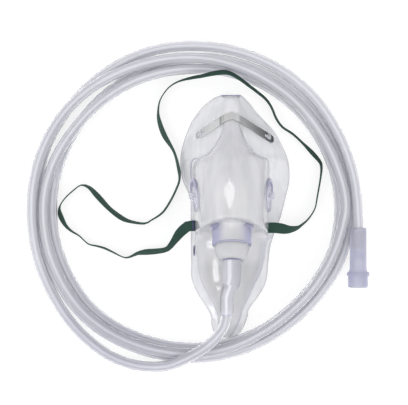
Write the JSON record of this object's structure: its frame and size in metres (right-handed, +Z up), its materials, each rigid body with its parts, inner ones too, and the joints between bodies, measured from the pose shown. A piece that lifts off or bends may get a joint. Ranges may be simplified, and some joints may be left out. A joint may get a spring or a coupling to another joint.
{
  "type": "oxygen face mask",
  "caption": "Clear soft oxygen face mask lying on its rim, with bent nose clip, side vents, tubing adapter, dark elastic strap and a loose coil of clear supply tubing with a stepped connector.",
  "frame": {"origin": "On the plane that the mask's rim rests on, below the middle of the mask moulding's length and width.", "axes": "+Z points up, away from the surface that the mask lies on. +Y runs along the mask from its chin end to its nose end. +X points to the side where the free supply connector lies."},
  "size_m": [0.2042, 0.1976, 0.0468],
  "materials": {
    "clear_soft_plastic": "smooth clear soft PVC with a faint bluish tint",
    "soft_aluminium": "soft bent strip, dull satin",
    "frosted_plastic": "frosted clear rigid plastic",
    "bluish_soft_plastic": "thick translucent soft PVC, bluish",
    "tubing_plastic": "clear glossy flexible tubing",
    "green_elastic": "flat woven elastic, matte dark green"
  },
  "bodies": {
    "root": {"mask_shell": "clear_soft_plastic", "nose_clip": "soft_aluminium", "tubing_adapter": "frosted_plastic", "tube_cuff": "bluish_soft_plastic", "oxygen_tube": "tubing_plastic", "supply_connector": "bluish_soft_plastic", "elastic_strap": "green_elastic"}
  },
  "joints": []
}
